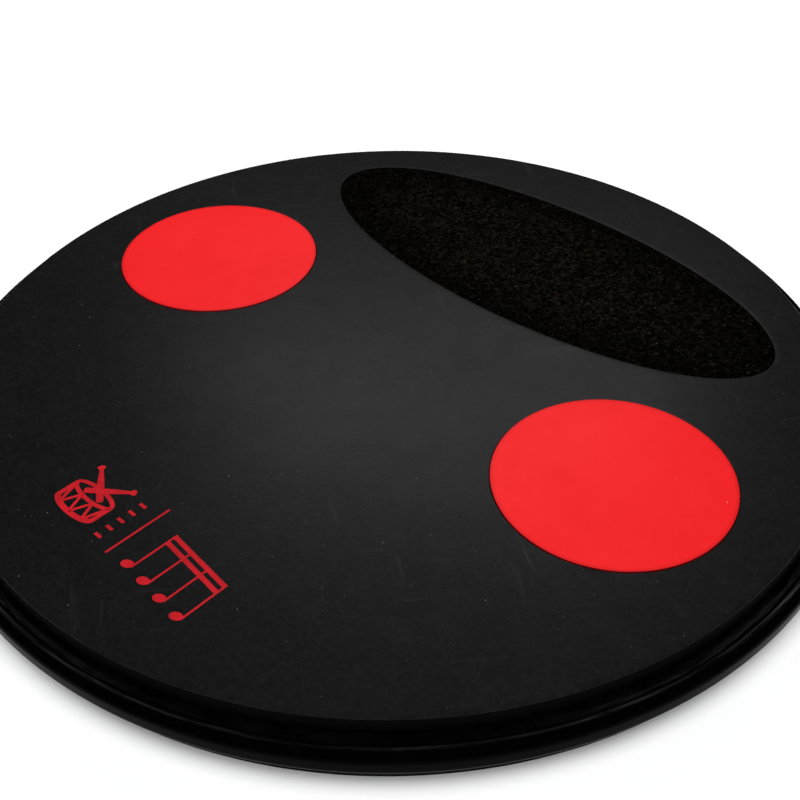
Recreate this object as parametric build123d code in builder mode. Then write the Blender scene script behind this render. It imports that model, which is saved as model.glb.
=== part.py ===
from build123d import *
import os
from math import degrees

os.makedirs("parts", exist_ok=True)

# A round drum practice pad, in millimetres: a stack of flat layers on a board, with a
# plastic moulding pushed into the board's edge. The origin is the centre of the underside
# and +Z is up. The oval inlay is towards +Y, away from the player. The round inlays lie
# to the left (-X) and to the right (+X).

# ---- Playing surface, one rubber sheet with three openings
playing_diameter = 304.8
playing_thickness = 6.0
playing_edge_round = 0.45

# ---- Round silicone inlays
disc_diameter = 77.2
disc_edge_margin = 18.65     # rubber between a disc and the edge of the sheet
disc_rise = 0.4              # height of a disc above the rubber
disc_edge_round = 0.3

# ---- Oval crumb-rubber inlay
oval_length = 205.0
oval_width = 78.8
oval_edge_margin = 30.1      # rubber between the oval and the edge of the sheet
oval_drop = 0.1              # depth of the oval's top below the rubber
oval_edge_round = 0.25

inlay_clearance = 0.2        # gap round every inlay

# ---- Adhesive films
film_thickness = 0.15
film_inset = 1.5             # how far a film stops short of the piece that it holds

# ---- Core board
board_thickness = 8.0
board_ledge = 3.4            # board left bare outside the rubber
board_edge_break = 0.3

# ---- Non-slip base
base_thickness = 5.0
base_overhang = 1.2          # base that reaches past the board, under the trim
base_edge_round = 0.8

# ---- Edge trim, a T-shaped moulding
trim_fit = 0.1               # gap between the trim's flange and the board's edge
flange_thickness = 4.6
lip_rise = 0.35              # height of the lip above the board's top
lip_inner_round = 1.0
lip_outer_round = 2.6
heel_height = 0.75           # height of the flange's sharp lower edge above the board's bottom
heel_tuck = 1.1              # how far that edge lies inside the flange's widest part
heel_curve_height = 2.1
flange_bottom_gap = 0.2      # height of the flange's inner corner above the board's bottom
tongue_length = 6.5
tongue_thickness = 1.6
barb_count = 3
barb_height = 0.4
barb_length = 1.3
barb_pitch = 1.8
barb_tip_gap = 0.5           # plain tip of the tongue ahead of the first barb
groove_clearance = 0.05      # over the barbs and under them
groove_end_gap = 0.8         # groove left empty past the tongue's tip
seam_gap = 0.4               # where the two ends of the trim meet, at the back of the pad

# ---- Heights of the layers
board_bottom = base_thickness + film_thickness
board_top = board_bottom + board_thickness
board_middle = board_bottom + board_thickness / 2
layer_bottom = board_top + film_thickness

# ---- Radii
playing_radius = playing_diameter / 2
disc_radius = disc_diameter / 2
board_radius = playing_radius + board_ledge
base_radius = board_radius + base_overhang
flange_inner_radius = board_radius + trim_fit
flange_outer_radius = flange_inner_radius + flange_thickness

# ---- Places of the inlays
disc_offset = playing_radius - disc_edge_margin - disc_radius
oval_offset = playing_radius - oval_edge_margin - oval_width / 2
disc_sides = {"left": -1, "right": 1}
disc_places = [(side * disc_offset, 0) for side in disc_sides.values()]
oval_place = (0, oval_offset)


def top_rim(part):
    """Return the edges round the highest flat face of a part."""
    return part.faces().sort_by(Axis.Z)[-1].edges()


# ---- Non-slip base, lying on the floor
with BuildPart() as non_slip_base:
    with BuildSketch():
        Circle(base_radius)
    extrude(amount=base_thickness)
    fillet(non_slip_base.edges(), base_edge_round)

# ---- Film between the base and the board
with BuildPart() as base_film:
    with BuildSketch(Plane.XY.offset(base_thickness)):
        Circle(board_radius - film_inset)
    extrude(amount=film_thickness)

# ---- Core board, with a groove for the trim's tongue all round its edge
groove_depth = tongue_length + groove_end_gap
groove_height = tongue_thickness + 2 * (barb_height + groove_clearance)

with BuildPart() as core_board:
    with BuildSketch(Plane.XY.offset(board_bottom)):
        Circle(board_radius)
    extrude(amount=board_thickness)
    chamfer(core_board.edges(), board_edge_break)
    with BuildSketch(Plane.XY.offset(board_middle)):
        Circle(board_radius)
        Circle(board_radius - groove_depth, mode=Mode.SUBTRACT)
    extrude(amount=groove_height / 2, both=True, mode=Mode.SUBTRACT)

# ---- Edge trim. Its section is drawn with X as the radius and Y as the height, and swept
# round the board from one side of the seam to the other.
lip_top = board_top + lip_rise
heel_radius = flange_outer_radius - heel_tuck
heel_bottom = board_bottom + heel_height
band_bottom = heel_bottom + heel_curve_height
band_top = lip_top - lip_outer_round
tongue_tip_radius = flange_inner_radius - tongue_length
seam_angle = degrees(seam_gap / flange_outer_radius)
seam_plane = Plane.XZ.rotated((0, 0, 90 + seam_angle / 2))

with BuildPart() as edge_trim:
    with BuildSketch(seam_plane):
        with BuildLine():
            Polyline(
                (heel_radius, heel_bottom),
                (flange_inner_radius, board_bottom + flange_bottom_gap),
                (flange_inner_radius, lip_top - lip_inner_round),
            )
            RadiusArc(
                (flange_inner_radius, lip_top - lip_inner_round),
                (flange_inner_radius + lip_inner_round, lip_top),
                lip_inner_round,
            )
            Line(
                (flange_inner_radius + lip_inner_round, lip_top),
                (flange_outer_radius - lip_outer_round, lip_top),
            )
            RadiusArc(
                (flange_outer_radius - lip_outer_round, lip_top),
                (flange_outer_radius, band_top),
                lip_outer_round,
            )
            Line((flange_outer_radius, band_top), (flange_outer_radius, band_bottom))
            TangentArc(
                (flange_outer_radius, band_bottom),
                (heel_radius, heel_bottom),
                tangent=(0, -1),
            )
        make_face()
        with Locations((flange_inner_radius, board_middle)):
            Rectangle(tongue_length, tongue_thickness, align=(Align.MAX, Align.CENTER))
        for barb in range(barb_count):
            barb_tip = tongue_tip_radius + barb_tip_gap + barb * barb_pitch
            barb_back = barb_tip + barb_length
            for side in (-1, 1):
                root_height = board_middle + side * tongue_thickness / 2
                barb_crest = root_height + side * barb_height
                with BuildLine():
                    Polyline(
                        (barb_tip, root_height),
                        (barb_back, barb_crest),
                        (barb_back, root_height),
                        close=True,
                    )
                make_face()
    revolve(axis=Axis.Z, revolution_arc=360 - seam_angle)

# ---- Film between the board and the rubber sheet, open where the inlays go
with BuildPart() as surface_film:
    with BuildSketch(Plane.XY.offset(board_top)):
        Circle(playing_radius - film_inset)
        with Locations(*disc_places):
            Circle(disc_radius + inlay_clearance + film_inset, mode=Mode.SUBTRACT)
        with Locations(oval_place):
            Ellipse(
                oval_length / 2 + inlay_clearance + film_inset,
                oval_width / 2 + inlay_clearance + film_inset,
                mode=Mode.SUBTRACT,
            )
    extrude(amount=film_thickness)

# ---- Playing surface
with BuildPart() as playing_surface:
    with BuildSketch(Plane.XY.offset(layer_bottom)):
        Circle(playing_radius)
    extrude(amount=playing_thickness)
    fillet(top_rim(playing_surface), playing_edge_round)
    with BuildSketch(Plane.XY.offset(layer_bottom)):
        with Locations(*disc_places):
            Circle(disc_radius + inlay_clearance)
        with Locations(oval_place):
            Ellipse(oval_length / 2 + inlay_clearance, oval_width / 2 + inlay_clearance)
    extrude(amount=playing_thickness, mode=Mode.SUBTRACT)

# ---- Round inlays, each with the film that holds it
disc_parts = []
for side_name, side in disc_sides.items():
    with BuildPart() as disc_film:
        with BuildSketch(Plane.XY.offset(board_top)):
            with Locations((side * disc_offset, 0)):
                Circle(disc_radius - film_inset)
        extrude(amount=film_thickness)
    disc_film.part.label = "disc_film_" + side_name
    disc_parts.append(disc_film.part)

    with BuildPart() as red_disc:
        with BuildSketch(Plane.XY.offset(layer_bottom)):
            with Locations((side * disc_offset, 0)):
                Circle(disc_radius)
        extrude(amount=playing_thickness + disc_rise)
        fillet(top_rim(red_disc), disc_edge_round)
    red_disc.part.label = "red_disc_" + side_name
    disc_parts.append(red_disc.part)

# ---- Oval inlay and the film that holds it
with BuildPart() as oval_film:
    with BuildSketch(Plane.XY.offset(board_top)):
        with Locations(oval_place):
            Ellipse(oval_length / 2 - film_inset, oval_width / 2 - film_inset)
    extrude(amount=film_thickness)

with BuildPart() as oval_inlay:
    with BuildSketch(Plane.XY.offset(layer_bottom)):
        with Locations(oval_place):
            Ellipse(oval_length / 2, oval_width / 2)
    extrude(amount=playing_thickness - oval_drop)
    fillet(top_rim(oval_inlay), oval_edge_round)

# ---- Labels and files
non_slip_base.part.label = "non_slip_base"
base_film.part.label = "base_film"
core_board.part.label = "core_board"
edge_trim.part.label = "edge_trim"
surface_film.part.label = "surface_film"
playing_surface.part.label = "playing_surface"
oval_film.part.label = "oval_film"
oval_inlay.part.label = "oval_inlay"

stack_parts = [
    non_slip_base.part,
    base_film.part,
    core_board.part,
    edge_trim.part,
    surface_film.part,
    playing_surface.part,
    oval_film.part,
    oval_inlay.part,
]

for piece in stack_parts + disc_parts:
    export_step(piece, "parts/" + piece.label + ".step")
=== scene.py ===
from math import cos, radians, sin

import bmesh
import bpy
import numpy as np
from mathutils import Matrix, Vector
from mathutils.geometry import delaunay_2d_cdt


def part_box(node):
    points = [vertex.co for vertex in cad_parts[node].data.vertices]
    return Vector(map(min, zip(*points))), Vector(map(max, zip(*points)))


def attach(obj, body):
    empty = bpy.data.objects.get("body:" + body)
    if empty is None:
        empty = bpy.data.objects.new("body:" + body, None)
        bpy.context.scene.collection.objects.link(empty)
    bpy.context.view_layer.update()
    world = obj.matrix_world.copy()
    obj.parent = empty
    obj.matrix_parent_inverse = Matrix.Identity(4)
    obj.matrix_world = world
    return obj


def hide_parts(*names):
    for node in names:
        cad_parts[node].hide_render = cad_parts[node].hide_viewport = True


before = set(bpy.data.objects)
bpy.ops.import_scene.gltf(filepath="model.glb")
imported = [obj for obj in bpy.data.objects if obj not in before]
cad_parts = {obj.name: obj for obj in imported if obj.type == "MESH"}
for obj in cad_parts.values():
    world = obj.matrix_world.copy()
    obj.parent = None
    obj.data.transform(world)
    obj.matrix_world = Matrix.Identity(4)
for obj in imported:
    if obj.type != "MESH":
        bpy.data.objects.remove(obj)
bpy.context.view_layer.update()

mm = 0.001
fullTurn = 2 * np.pi


def placeOf(node):
    # middle, half widths and heights of a CAD node, in metres
    low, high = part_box(node)
    return {
        "x": (low.x + high.x) / 2,
        "y": (low.y + high.y) / 2,
        "halfX": (high.x - low.x) / 2,
        "halfY": (high.y - low.y) / 2,
        "bottom": low.z,
        "top": high.z,
    }


rubber = placeOf("playing_surface")
leftDisc = placeOf("red_disc_left")
rightDisc = placeOf("red_disc_right")
oval = placeOf("oval_inlay")
board = placeOf("core_board")
trim = placeOf("edge_trim")
base = placeOf("non_slip_base")

# camera, floor and light

cameraLook = {
    "distance": 0.4096,     # from the middle of the playing face
    "azimuth": 44.1,        # degrees from the player's side towards the right
    "elevation": 37.6,
    "tilt": -2.32,          # small turns of the lens away from the middle
    "turn": -0.35,
    "roll": -1.01,
    "focal": 51.7,
    "sensor": 36.0,
}


def placeCamera(look, aim):
    azimuth, elevation = radians(look["azimuth"]), radians(look["elevation"])
    outward = Vector((
        sin(azimuth) * cos(elevation),
        -cos(azimuth) * cos(elevation),
        sin(elevation),
    ))
    lens = bpy.data.cameras.new("camera")
    lens.lens = look["focal"]
    lens.sensor_width = look["sensor"]
    lens.clip_start = 0.01
    camera = bpy.data.objects.new("camera", lens)
    bpy.context.scene.collection.objects.link(camera)
    turns = (
        (-outward).to_track_quat("-Z", "Y").to_matrix().to_4x4()
        @ Matrix.Rotation(radians(look["tilt"]), 4, "X")
        @ Matrix.Rotation(radians(look["turn"]), 4, "Y")
        @ Matrix.Rotation(radians(look["roll"]), 4, "Z")
    )
    camera.matrix_world = Matrix.Translation(aim + outward * look["distance"]) @ turns
    bpy.context.scene.camera = camera


placeCamera(cameraLook, Vector((0, 0, rubber["top"])))

studioLight = {
    "skyStrength": 0.03,
    "backdropStrength": 0.95,
    "skyColor": (0.96, 0.98, 1.0),
    "sunStrength": 3.6,
    "sunAngle": 60.0,       # a wide sun has soft shadows
    "sunTilt": 15.0,        # degrees from straight overhead
    "sunHeading": 44.0,
    "boxPower": 0.325,
    "boxWidth": 0.41,
    "boxDepth": 0.06,
    "boxPlace": (-0.262, 0.328, 0.400),
    "underPower": 75.0,     # below the floor, for the pad's underside only
    "underSize": 0.5,
    "underPlace": (0.62, -0.36, -0.36),
}


def addLamp(name, kind, place, **settings):
    # a lamp that shines from its place towards the origin
    lamp = bpy.data.lights.new(name, kind)
    for key, value in settings.items():
        setattr(lamp, key, value)
    holder = bpy.data.objects.new(name, lamp)
    bpy.context.scene.collection.objects.link(holder)
    turn = (-Vector(place)).to_track_quat("-Z", "Y").to_matrix().to_4x4()
    holder.matrix_world = Matrix.Translation(place) @ turn
    return holder


def makeStudio(light):
    scene = bpy.context.scene
    scene.view_settings.view_transform = "Standard"
    # the room is dim for the pad and white behind it
    world = bpy.data.worlds.new("studioAir")
    world.use_nodes = True
    tree = world.node_tree
    sky = tree.nodes["Background"]
    sky.inputs["Color"].default_value = (*light["skyColor"], 1)
    path = tree.nodes.new("ShaderNodeLightPath")
    share = tree.nodes.new("ShaderNodeMapRange")
    share.inputs["To Min"].default_value = light["skyStrength"]
    share.inputs["To Max"].default_value = light["backdropStrength"]
    tree.links.new(path.outputs["Is Camera Ray"], share.inputs["Value"])
    tree.links.new(share.outputs["Result"], sky.inputs["Strength"])
    scene.world = world

    heading, tilt = radians(light["sunHeading"]), radians(light["sunTilt"])
    overhead = (sin(heading) * sin(tilt), -cos(heading) * sin(tilt), cos(tilt))
    sun = addLamp("overheadSun", "SUN", overhead,
                  energy=light["sunStrength"], angle=radians(light["sunAngle"]))
    sun.visible_glossy = False          # the highlights come from the soft box alone
    addLamp("farSoftBox", "AREA", light["boxPlace"], energy=light["boxPower"],
            shape="RECTANGLE", size=light["boxWidth"], size_y=light["boxDepth"])
    addLamp("underLight", "AREA", light["underPlace"],
            energy=light["underPower"], size=light["underSize"])


makeStudio(studioLight)
print("camera and light placed")

# number fields, worked on whole arrays

def hashNoise(i, j, seed):
    # one number from 0 to 1 for each pair of whole numbers: the fraction of a large sine
    return np.modf(np.abs(np.sin(i * 127.1 + j * 311.7 + seed * 74.7) * 43758.5453))[0]


def smoothNoise(x, y, cell, seed):
    # random heights at the corners of square cells, blended by an S-curve, from -1 to 1
    u, v = x / cell, y / cell
    i, j = np.floor(u), np.floor(v)
    u, v = u - i, v - j
    u, v = u * u * (3 - 2 * u), v * v * (3 - 2 * v)
    near = hashNoise(i, j, seed) * (1 - u) + hashNoise(i + 1, j, seed) * u
    far = hashNoise(i, j + 1, seed) * (1 - u) + hashNoise(i + 1, j + 1, seed) * u
    return 2 * (near * (1 - v) + far * v) - 1


def grainField(x, y, pitch, seed):
    # every square cell holds one grain at a random place in it. Returns the distance to
    # the nearest grain's middle, how much further the second one is, and a random number
    # that belongs to the nearest grain
    i, j = np.floor(x / pitch), np.floor(y / pitch)
    nearest, second, own = np.full(x.shape, 9.0), np.full(x.shape, 9.0), np.zeros(x.shape)
    for di in (-1, 0, 1):
        for dj in (-1, 0, 1):
            gx = i + di + hashNoise(i + di, j + dj, seed)
            gy = j + dj + hashNoise(i + di, j + dj, seed + 1)
            away = np.hypot(x / pitch - gx, y / pitch - gy)
            closer = away < nearest
            second = np.where(closer, nearest, np.minimum(second, away))
            own = np.where(closer, hashNoise(i + di, j + dj, seed + 2), own)
            nearest = np.where(closer, away, nearest)
    return nearest, second - nearest, own


def easeIn(value, low, high):
    # 0 below low, 1 above high and an S-curve between them
    t = np.clip((value - low) / (high - low), 0, 1)
    return t * t * (3 - 2 * t)


# mesh building

def gridFaces(rows, columns, wrapColumns=False, wrapRows=False):
    # the quads between neighbours in a grid of points that is counted row by row
    r = np.arange(rows if wrapRows else rows - 1)
    c = np.arange(columns if wrapColumns else columns - 1)
    r, c = np.meshgrid(r, c, indexing="ij")
    rNext, cNext = (r + 1) % rows, (c + 1) % columns
    corners = (r * columns + c, r * columns + cNext, rNext * columns + cNext, rNext * columns + c)
    return np.stack(corners, -1).reshape(-1, 4)


def fanFaces(columns, hub, firstOfLoop):
    # triangles from each step of a closed loop to one middle point
    c = np.arange(columns)
    return np.stack((firstOfLoop + c, firstOfLoop + (c + 1) % columns, np.full(columns, hub)), -1)


def turnSteps(columns):
    # even angles once round
    return np.linspace(0, fullTurn, columns, endpoint=False)


def pairs(radii, heights):
    # a section's points. One of the two may be a single number
    return np.stack(np.broadcast_arrays(radii, heights), -1)


def arcPoints(middle, radius, start, end, steps):
    # points at even angles on a circle, as an array of pairs
    angle = np.radians(np.linspace(start, end, steps))
    return pairs(middle[0] + radius * np.cos(angle), middle[1] + radius * np.sin(angle))


def carryRound(r, t, z, x=0.0, y=0.0):
    # rows of points at the radii r, the angles t and the heights z round an upright axis
    return np.stack(np.broadcast_arrays(x + r * np.cos(t), y + r * np.sin(t), z), -1)


def closedRows(points, hubs):
    # a block of rows that go once round. hubs holds the middle points that close the first
    # row, the last row or both, by the row's number
    rows, columns = points.shape[:2]
    flat = points.reshape(-1, 3)
    faces = [gridFaces(rows, columns, wrapColumns=True)]
    for count, row in enumerate(hubs):
        faces.append(fanFaces(columns, len(flat) + count, row % rows * columns))
    return np.concatenate((flat, np.reshape(list(hubs.values()), (-1, 3)))), faces


def makePiece(name, blocks, material, sharpAngle=35):
    # blocks are pairs of a point array and a list of face arrays. They are joined, points
    # closer than a micrometre are welded and every face is turned outwards
    points, faces, start = [], [], 0
    for blockPoints, faceArrays in blocks:
        points.append(blockPoints)
        for faceArray in faceArrays:
            faces += (np.asarray(faceArray) + start).tolist()
        start += len(blockPoints)
    mesh = bpy.data.meshes.new(name)
    mesh.from_pydata(np.concatenate(points).tolist(), [], faces)
    work = bmesh.new()
    work.from_mesh(mesh)
    bmesh.ops.remove_doubles(work, verts=work.verts, dist=1e-6)
    bmesh.ops.recalc_face_normals(work, faces=work.faces)
    work.to_mesh(mesh)
    work.free()
    mesh.shade_smooth()
    mesh.set_sharp_from_angle(angle=radians(sharpAngle))
    mesh.materials.append(material)
    piece = bpy.data.objects.new(name, mesh)
    bpy.context.scene.collection.objects.link(piece)
    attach(piece, "root")
    return piece


def pointsOf(piece):
    flat = np.zeros(len(piece.data.vertices) * 3)
    piece.data.vertices.foreach_get("co", flat)
    return flat.reshape(-1, 3)


def polarOf(piece, x=0.0, y=0.0):
    # the distance and the angle of a piece's points round an upright axis
    points = pointsOf(piece)
    return (np.hypot(points[:, 0] - x, points[:, 1] - y),
            np.arctan2(points[:, 1] - y, points[:, 0] - x))


def sideShare(angle, heading):
    # 1 towards a heading and away from it, 0 square to it: the cosine squared
    return np.cos(angle - radians(heading)) ** 2


def storeOnPoints(piece, name, values):
    field = piece.data.attributes.new(name, "FLOAT", "POINT")
    field.data.foreach_set("value", np.asarray(values, np.float32))


def ovalLoop(shape, grow, columns):
    # points at even steps round an ellipse, moved outwards along its normal by grow
    t = turnSteps(columns)
    across, along = np.cos(t) / shape["halfX"], np.sin(t) / shape["halfY"]
    length = np.hypot(across, along)
    return np.stack((
        shape["x"] + shape["halfX"] * np.cos(t) + grow * across / length,
        shape["y"] + shape["halfY"] * np.sin(t) + grow * along / length,
    ), -1)


def insideOval(x, y, shape, grow):
    # true inside the ellipse whose half widths are made larger by grow
    return np.hypot(
        (x - shape["x"]) / (shape["halfX"] + grow),
        (y - shape["y"]) / (shape["halfY"] + grow),
    ) < 1


def discGrid(rows, columns):
    # the grid of a square from -1 to 1, pressed into the unit disc
    v, u = np.meshgrid(np.linspace(-1, 1, rows), np.linspace(-1, 1, columns), indexing="ij")
    return u * np.sqrt(1 - v * v / 2), v * np.sqrt(1 - u * u / 2)


def borderOf(rows, columns):
    # the numbers of a grid's outer points, once round
    index = np.arange(rows * columns).reshape(rows, columns)
    return np.concatenate((index[0, :-1], index[:-1, -1], index[-1, :0:-1], index[:0:-1, 0]))


# node tools

def fillSocket(socket, value):
    # links another node's output to the socket, or sets a plain value on it
    if isinstance(value, bpy.types.NodeSocket):
        socket.id_data.links.new(value, socket)
    else:
        socket.default_value = value


def treeOf(*values):
    # the node tree that the sockets among the values belong to
    return next(value.id_data for value in values if isinstance(value, bpy.types.NodeSocket))


def addNode(tree, kind, inputs=None, **settings):
    # inputs are plain values or other nodes' outputs, by the name or number of the socket
    node = tree.nodes.new(kind)
    for key, value in settings.items():
        setattr(node, key, value)
    for socket, value in (inputs or {}).items():
        fillSocket(node.inputs[socket], value)
    return node


def mathNode(operation, first, second=0.0, clamp=False):
    node = addNode(treeOf(first, second), "ShaderNodeMath", {0: first, 1: second}, operation=operation)
    node.use_clamp = clamp
    return node.outputs[0]


def times(first, second):
    return mathNode("MULTIPLY", first, second)


def plus(first, second, clamp=False):
    return mathNode("ADD", first, second, clamp)


def larger(first, second):
    return mathNode("MAXIMUM", first, second)


def remap(value, low, high, newLow=0.0, newHigh=1.0):
    node = addNode(treeOf(value), "ShaderNodeMapRange", {
        "Value": value, "From Min": low, "From Max": high, "To Min": newLow, "To Max": newHigh,
    })
    return node.outputs["Result"]


def noise(vector, scale, detail=3.0, rough=0.5):
    node = addNode(treeOf(vector), "ShaderNodeTexNoise", {
        "Vector": vector, "Scale": scale, "Detail": detail, "Roughness": rough,
    })
    return node.outputs["Fac"]


def mixColor(amount, first, second):
    sockets = {0: amount, 6: first, 7: second}
    return addNode(treeOf(amount), "ShaderNodeMix", sockets, data_type="RGBA").outputs[2]


def attribute(material, name):
    # a value that the piece stores on its points
    node = addNode(material.node_tree, "ShaderNodeAttribute", attribute_name=name)
    return node.outputs["Fac"]


def cellPattern(vector, scale):
    return addNode(treeOf(vector), "ShaderNodeTexVoronoi", {"Vector": vector, "Scale": scale}).outputs


def newGroup(name, inputs, outputs):
    # a shader node group with named sockets, an input without a number being a vector.
    # Returns its tree, its inputs and its end node
    tree = bpy.data.node_groups.new(name, "ShaderNodeTree")
    for socketName, value in inputs.items():
        kind = "NodeSocketVector" if value is None else "NodeSocketFloat"
        socket = tree.interface.new_socket(socketName, in_out="INPUT", socket_type=kind)
        if value is not None:
            socket.default_value = value
    for socketName in outputs:
        tree.interface.new_socket(socketName, in_out="OUTPUT", socket_type="NodeSocketFloat")
    return tree, tree.nodes.new("NodeGroupInput").outputs, tree.nodes.new("NodeGroupOutput")


def useGroup(group, inputs):
    tree = treeOf(*inputs.values())
    return addNode(tree, "ShaderNodeGroup", inputs, node_tree=group).outputs


def makeSpeckGroup():
    # small round specks at random places: near a cell's middle, in a share of the cells
    tree, given, end = newGroup(
        "dustSpecks", {"Vector": None, "Scale": 150.0, "Share": 0.05, "Size": 0.08}, ["Mask"],
    )
    cells = cellPattern(given["Vector"], given["Scale"])
    pick = addNode(tree, "ShaderNodeSeparateColor", {"Color": cells["Color"]}).outputs
    chosen = mathNode("LESS_THAN", pick["Red"], given["Share"])
    reach = times(given["Size"], remap(pick["Green"], 0, 1, 0.45, 1.3))
    dot = remap(cells["Distance"], reach, times(reach, 0.4))
    fillSocket(end.inputs["Mask"], times(dot, chosen))
    return tree


def makeStreakGroup():
    # faint rubbed streaks: noise drawn out along one direction, kept where it is high and
    # where a broad noise lets it through
    tree, given, end = newGroup(
        "rubbedStreaks", {"Vector": None, "Heading": 0.0, "Scale": 60.0, "Level": 0.62}, ["Mask"],
    )
    turned = addNode(tree, "ShaderNodeVectorRotate", {
        "Vector": given["Vector"], "Angle": given["Heading"],
    }, rotation_type="Z_AXIS")
    drawn = addNode(tree, "ShaderNodeVectorMath", {
        0: turned.outputs[0], 1: (1.0, 0.09, 1.0),
    }, operation="MULTIPLY")
    lines = noise(drawn.outputs[0], given["Scale"], 4.0, 0.62)
    spread = noise(given["Vector"], 17.0, 2.0, 0.5)
    streak = remap(lines, given["Level"], plus(given["Level"], 0.12))
    fillSocket(end.inputs["Mask"], times(streak, remap(spread, 0.44, 0.62)))
    return tree


def makeSkinGroup():
    # a cloudy tone from three sizes of noise, and the height of a fine skin
    tree, given, end = newGroup(
        "mouldedSkin", {"Vector": None, "Cloud": 12.0, "Fine": 1500.0}, ["Tone", "Height"],
    )
    place = given["Vector"]
    broad = noise(place, given["Cloud"], 4.0, 0.58)
    middle = noise(place, times(given["Cloud"], 7.0), 3.0, 0.6)
    small = noise(place, given["Fine"], 3.0, 0.6)
    pits = cellPattern(place, times(given["Fine"], 0.55))["Distance"]
    tone = plus(times(broad, 0.62), times(middle, 0.26))
    tone = plus(tone, times(small, 0.12))
    height = plus(times(small, 0.7), times(pits, 0.3))
    fillSocket(end.inputs["Tone"], remap(tone, 0.32, 0.68))
    fillSocket(end.inputs["Height"], height)
    return tree


def makeRimStreakGroup():
    # hair-fine lines that run round the rim: noise over the distance round it, which is
    # much shortened, and the distance across it
    tree, given, end = newGroup(
        "rimStreaks", {"Around": 0.0, "Across": 0.0, "Scale": 2600.0}, ["Mask"],
    )
    place = addNode(tree, "ShaderNodeCombineXYZ", {
        "X": times(given["Around"], 0.035), "Y": given["Across"],
    }).outputs[0]
    lines = noise(place, given["Scale"], 3.0, 0.7)
    patches = noise(place, times(given["Scale"], 0.3), 2.0, 0.5)
    mask = times(remap(lines, 0.38, 0.66), remap(patches, 0.3, 0.62))
    fillSocket(end.inputs["Mask"], mask)
    return tree


dustSpecks = makeSpeckGroup()
rimStreaks = makeRimStreakGroup()
rubbedStreaks = makeStreakGroup()
mouldedSkin = makeSkinGroup()


def skinOn(place, cloud, fine):
    return useGroup(mouldedSkin, {"Vector": place, "Cloud": cloud, "Fine": fine})


def specksOn(place, scale, share, size):
    return useGroup(dustSpecks, {"Vector": place, "Scale": scale, "Share": share, "Size": size})["Mask"]


def streaksOn(place, heading, scale, level):
    return useGroup(rubbedStreaks, {
        "Vector": place, "Heading": heading, "Scale": scale, "Level": level,
    })["Mask"]


def startMaterial(name, roughness, specular):
    material = bpy.data.materials.new(name)
    material.use_nodes = True
    shader = material.node_tree.nodes["Principled BSDF"]
    shader.inputs["Roughness"].default_value = roughness
    shader.inputs["Specular IOR Level"].default_value = specular
    place = addNode(material.node_tree, "ShaderNodeTexCoord").outputs["Object"]
    return material, shader, place


def finishSurface(shader, color, roughness, height, strength, depth):
    bump = addNode(treeOf(color), "ShaderNodeBump", {
        "Height": height, "Strength": strength, "Distance": depth,
    })
    fillSocket(shader.inputs["Base Color"], color)
    fillSocket(shader.inputs["Normal"], bump.outputs["Normal"])
    if roughness is not None:
        fillSocket(shader.inputs["Roughness"], roughness)


# materials

rubberFinish = {
    "dark": (0.0030, 0.0030, 0.0032, 1),
    "light": (0.0049, 0.0049, 0.0053, 1),
    "bloom": (0.0120, 0.0120, 0.0122, 1),
    "dust": (0.30, 0.30, 0.29, 1),
    "scuff": (0.022, 0.022, 0.022, 1),
    "cutWallShade": (0.0004, 0.0004, 0.0004, 1),
}


def playingRubberMaterial(finish):
    material, shader, place = startMaterial("playingRubber", 0.38, 0.25)
    skin = skinOn(place, 13.0, 1700.0)
    fineDust = specksOn(place, 500.0, 0.6, 0.05)
    bigDust = specksOn(place, 250.0, 0.45, 0.05)
    strokes = streaksOn(place, 0.7, 330.0, 0.63)
    crossed = streaksOn(place, 2.2, 270.0, 0.64)
    color = mixColor(skin["Tone"], finish["dark"], finish["light"])
    # chalky bloom: a fine mottle, and small smudges where it has been wiped
    mottle = remap(noise(place, 700.0, 2.0, 0.75), 0.36, 0.66)
    smear = remap(noise(place, 95.0, 6.0, 0.68), 0.46, 0.74)
    bloom = plus(times(mottle, 0.36), times(smear, 0.18), clamp=True)
    color = mixColor(bloom, color, finish["bloom"])
    scuffs = times(larger(strokes, crossed), 0.55)
    color = mixColor(scuffs, color, finish["scuff"])
    dust = larger(fineDust, bigDust)
    color = mixColor(times(dust, 0.6), color, finish["dust"])
    # painted shade: the cut walls below the top face are coloured near black
    onTop = attribute(material, "onTop")
    color = mixColor(onTop, finish["cutWallShade"], color)
    rough = plus(remap(skin["Tone"], 0, 1, 0.38, 0.33), times(dust, 0.3))
    # the cut walls are fully rough
    rough = larger(rough, mathNode("SUBTRACT", 1.0, onTop))
    height = plus(skin["Height"], times(dust, 1.4))
    finishSurface(shader, color, rough, height, 0.5, 0.06 * mm)
    return material


siliconeFinish = {
    "deep": (0.72, 0.0080, 0.0105, 1),
    "bright": (0.80, 0.0130, 0.0160, 1),
    "wall": (0.16, 0.0020, 0.0030, 1),
    "dust": (0.92, 0.45, 0.42, 1),
}


def redSiliconeMaterial(finish):
    material, shader, place = startMaterial("redSilicone", 0.42, 0.3)
    skin = skinOn(place, 22.0, 2300.0)
    dust = specksOn(place, 120.0, 0.25, 0.035)
    color = mixColor(skin["Tone"], finish["deep"], finish["bright"])
    color = mixColor(times(dust, 0.7), color, finish["dust"])
    # painted shade: the rounded edge and the side wall are coloured a deep dark red
    onTop = attribute(material, "onTop")
    color = mixColor(onTop, finish["wall"], color)
    rough = remap(skin["Tone"], 0, 1, 0.52, 0.43)
    finishSurface(shader, color, rough, skin["Height"], 0.18, 0.03 * mm)
    return material


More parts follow.
